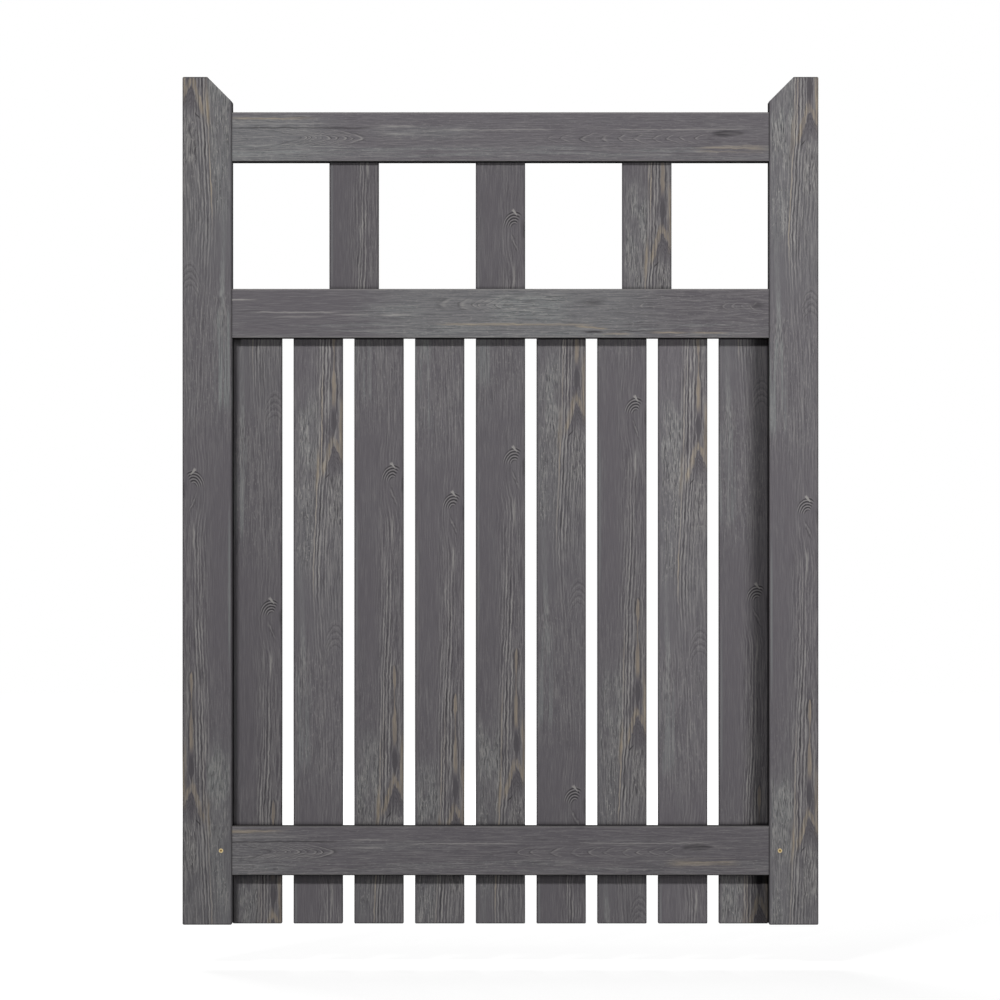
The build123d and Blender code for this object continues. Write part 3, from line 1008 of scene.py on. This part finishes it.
class GATE_OT_finish_tenon_screws(bpy.types.Operator):
    """Give the two tenon screws their yellow steel"""

    bl_idname = "gate.finish_tenon_screws"
    bl_label = "Finish tenon screws"

    def execute(self, context):
        for node in ("left_tenon_screw", "right_tenon_screw"):
            low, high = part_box(node)
            middle = ((low[0] + high[0]) / 2, (low[2] + high[2]) / 2)
            dress(node, screw_material(f"yellow steel {node}", middle))
        return {"FINISHED"}


class GATE_OT_add_board_screws(bpy.types.Operator):
    """Model one countersunk six-lobe screw and copy it to the back of every board"""

    bl_idname = "gate.add_board_screws"
    bl_label = "Add board screws"

    def execute(self, context):
        screws = context.scene.gate_screws
        material = screw_material("yellow steel board screws")
        places = []
        for board in BOARDS:
            low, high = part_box(board)
            for rail in ("middle_rail", "bottom_rail"):
                bottom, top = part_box(rail)
                level = (max(bottom[2], low[2]) + min(top[2], high[2])) / 2
                for x in (low[0] + screws.inset, high[0] - screws.inset):
                    places.append((board, (x, high[1], level)))

        first = self.model(context, screws, places[0][1])
        first.data.materials.append(material)
        pieces = [first]
        for _, place in places[1:]:
            bpy.ops.object.select_all(action="DESELECT")
            first.select_set(True)
            context.view_layer.objects.active = first
            bpy.ops.object.duplicate(linked=False)
            bpy.ops.transform.translate(value=[a - b for a, b in zip(place, places[0][1])])
            bpy.ops.object.transform_apply(location=True, rotation=True, scale=True)
            pieces.append(context.object)
        for number, (piece, (board, _)) in enumerate(zip(pieces, places)):
            piece.name = f"{board}_screw_{number % 4 + 1}"
            piece.data.name = piece.name
            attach(piece, BODY)
        return {"FINISHED"}

    def model(self, context, screws, place):
        """Model a screw head whose face stands a little out of the board's back at place."""
        face = place[1] + screws.proud
        bpy.ops.object.select_all(action="DESELECT")
        bpy.ops.mesh.primitive_cylinder_add(
            vertices=SCREW_SIDES, radius=screws.head / 2, depth=SCREW_DEPTH,
            location=(place[0], face - SCREW_DEPTH / 2, place[2]), rotation=(math.pi / 2, 0.0, 0.0),
        )
        screw = context.object
        bpy.ops.object.transform_apply(location=True, rotation=True, scale=True)
        bpy.ops.object.mode_set(mode="EDIT")
        self.select_face(screw, -1.0)
        tip = (place[0], face - SCREW_DEPTH, place[2])
        bpy.ops.transform.resize(value=(0.5, 1.0, 0.5), center_override=tip)
        self.select_face(screw, 1.0)
        bpy.ops.mesh.bevel(offset=SCREW_BEVEL, segments=2, affect="EDGES")
        self.select_face(screw, 1.0)
        bpy.ops.mesh.inset(thickness=screws.head * 0.20)
        self.pull_lobes(screw, place, face)
        self.select_face(screw, 1.0)
        bpy.ops.mesh.extrude_region_move(TRANSFORM_OT_translate={"value": (0.0, -RECESS_DEPTH, 0.0)})
        bpy.ops.mesh.inset(thickness=screws.head * 0.05)
        bpy.ops.object.mode_set(mode="OBJECT")
        bpy.ops.object.shade_smooth_by_angle(angle=math.radians(35.0))
        return screw

    def select_face(self, screw, way):
        """Select a flat end of the screw: the innermost at the back for 1, the whole front for -1."""
        mesh = bmesh.from_edit_mesh(screw.data)
        mesh.select_mode = {"FACE"}
        bpy.ops.mesh.select_all(action="DESELECT")
        bpy.ops.mesh.select_mode(type="FACE")
        flat = [piece for piece in mesh.faces if len(piece.verts) == SCREW_SIDES]
        ends = [piece for piece in flat if piece.normal.y * way > 0.9]
        chosen = max(ends, key=lambda piece: piece.calc_area() if way < 0 else -piece.calc_area())
        chosen.select_set(True)
        bmesh.update_edit_mesh(screw.data)

    def pull_lobes(self, screw, place, face):
        """Turn the inner face's round outline to six lobes."""
        for turns, size in (((2,), 0.70), ((1, 3), 0.84)):
            self.select_face(screw, 1.0)
            mesh = bmesh.from_edit_mesh(screw.data)
            inner = next(piece for piece in mesh.faces if piece.select)
            wanted = [corner for number, corner in enumerate(inner.verts) if number % 4 in turns]
            bpy.ops.mesh.select_mode(type="VERT")
            bpy.ops.mesh.select_all(action="DESELECT")
            for corner in wanted:
                corner.select_set(True)
            bmesh.update_edit_mesh(screw.data)
            bpy.ops.transform.resize(value=(size, 1.0, size), center_override=(place[0], face, place[2]))


class GATE_OT_set_stage(bpy.types.Operator):
    """Set the floor, the lights, the white room and the camera"""

    bl_idname = "gate.set_stage"
    bl_label = "Set stage"

    def execute(self, context):
        stage = context.scene.gate_stage
        low, high = CAD_BOX
        middle = [(a + b) / 2 for a, b in zip(low, high)]
        front = low[1]

        bpy.ops.object.select_all(action="DESELECT")
        bpy.ops.mesh.primitive_plane_add(
            size=FLOOR_SIZE, location=(middle[0], 0.0, low[2] - stage.clearance),
        )
        floor = context.object
        floor.name = "studio_floor"
        bpy.ops.object.transform_apply(location=True, rotation=False, scale=False)
        floor.data.materials.append(floor_material())

        self.lamp(context, "high_left_light", middle, stage.key, *KEY_LAMP)
        self.lamp(context, "broad_right_light", middle, stage.side, *SIDE_LAMP)
        self.lamp(context, "rear_light", middle, stage.rear, *REAR_LAMP)
        self.room(context, stage.ambient)

        place = (middle[0] + stage.aside, front - stage.distance, middle[2] + stage.above)
        bpy.ops.object.camera_add(location=place, rotation=(math.pi / 2, 0.0, 0.0))
        camera = context.object
        camera.name = "front_camera"
        camera.data.sensor_width = SENSOR
        camera.data.lens = SENSOR * stage.distance / stage.view_width
        context.scene.camera = camera
        context.scene.view_settings.view_transform = "Standard"
        return {"FINISHED"}

    def lamp(self, context, name, aim, power, toward, distance, size):
        """Add a soft rectangular light that faces aim from the direction toward."""
        length = math.sqrt(sum(part * part for part in toward))
        place = [a + distance * part / length for a, part in zip(aim, toward)]
        level = math.hypot(toward[0], toward[1])
        tilt = math.atan2(level, toward[2])
        turn = math.atan2(toward[0], -toward[1])
        bpy.ops.object.light_add(type="AREA", location=place, rotation=(tilt, 0.0, turn))
        light = context.object
        light.name = name
        light.data.shape = "RECTANGLE"
        light.data.size, light.data.size_y = size
        light.data.energy = power
        light.visible_camera = False

    def room(self, context, ambient):
        """Light the gate softly from all round, and show a white room behind it."""
        world = bpy.data.worlds.new("white room")
        context.scene.world = world
        world.use_nodes = True
        tree = world.node_tree
        background = tree.nodes["Background"]
        background.inputs["Color"].default_value = (1.0, 1.0, 1.0, 1.0)
        feed(tree, background.inputs["Strength"], ambient + shown(tree) * (1.0 - ambient))


def floor_material():
    """Pale matt floor: white to the camera, and a little less near the gate, where its shadow lies."""
    material, tree, shader, spot = new_material("pale studio floor")
    x, y, z = parts(spot)
    cloud = noise(x * 3.0, y * 3.0, z, 2.0)
    feed(tree, shader.inputs["Base Color"], blend(cloud, *FLOOR_GREYS))
    shader.inputs["Roughness"].default_value = 0.9
    shader.inputs["Specular IOR Level"].default_value = 0.0
    aside = x - (CAD_BOX[0][0] + CAD_BOX[1][0]) / 2
    far = rise(calc("SQRT", aside * aside + y * y), FLOOR_NEAR, FLOOR_FAR)
    feed(tree, shader.inputs["Emission Color"], blend(far, *FLOOR_WHITES))
    feed(tree, shader.inputs["Emission Strength"], shown(tree))
    return material


class GATE_PT_finish(bpy.types.Panel):
    """Finish of the garden gate"""

    bl_label = "Gate"
    bl_idname = "GATE_PT_finish"
    bl_space_type = "VIEW_3D"
    bl_region_type = "UI"
    bl_category = "Gate"

    def draw(self, context):
        layout = self.layout
        for operator in OPERATORS:
            layout.operator(operator.bl_idname)


PROPERTY_GROUPS = (GateStain, GateScrews, GateStage)
OPERATORS = (
    GATE_OT_stain_stiles,
    GATE_OT_stain_rails,
    GATE_OT_stain_slats,
    GATE_OT_stain_boards,
    GATE_OT_finish_tenon_screws,
    GATE_OT_add_board_screws,
    GATE_OT_set_stage,
)


def register():
    for group in PROPERTY_GROUPS + OPERATORS + (GATE_PT_finish,):
        bpy.utils.register_class(group)
    bpy.types.Scene.gate_stain = bpy.props.PointerProperty(type=GateStain)
    bpy.types.Scene.gate_screws = bpy.props.PointerProperty(type=GateScrews)
    bpy.types.Scene.gate_stage = bpy.props.PointerProperty(type=GateStage)


def unregister():
    del bpy.types.Scene.gate_stage
    del bpy.types.Scene.gate_screws
    del bpy.types.Scene.gate_stain
    for group in reversed(PROPERTY_GROUPS + OPERATORS + (GATE_PT_finish,)):
        bpy.utils.unregister_class(group)


def main():
    register()
    bpy.ops.gate.stain_stiles()
    bpy.ops.gate.stain_rails()
    bpy.ops.gate.stain_slats()
    bpy.ops.gate.stain_boards()
    bpy.ops.gate.finish_tenon_screws()
    bpy.ops.gate.add_board_screws()
    bpy.ops.gate.set_stage()


if __name__ == "__main__":
    main()
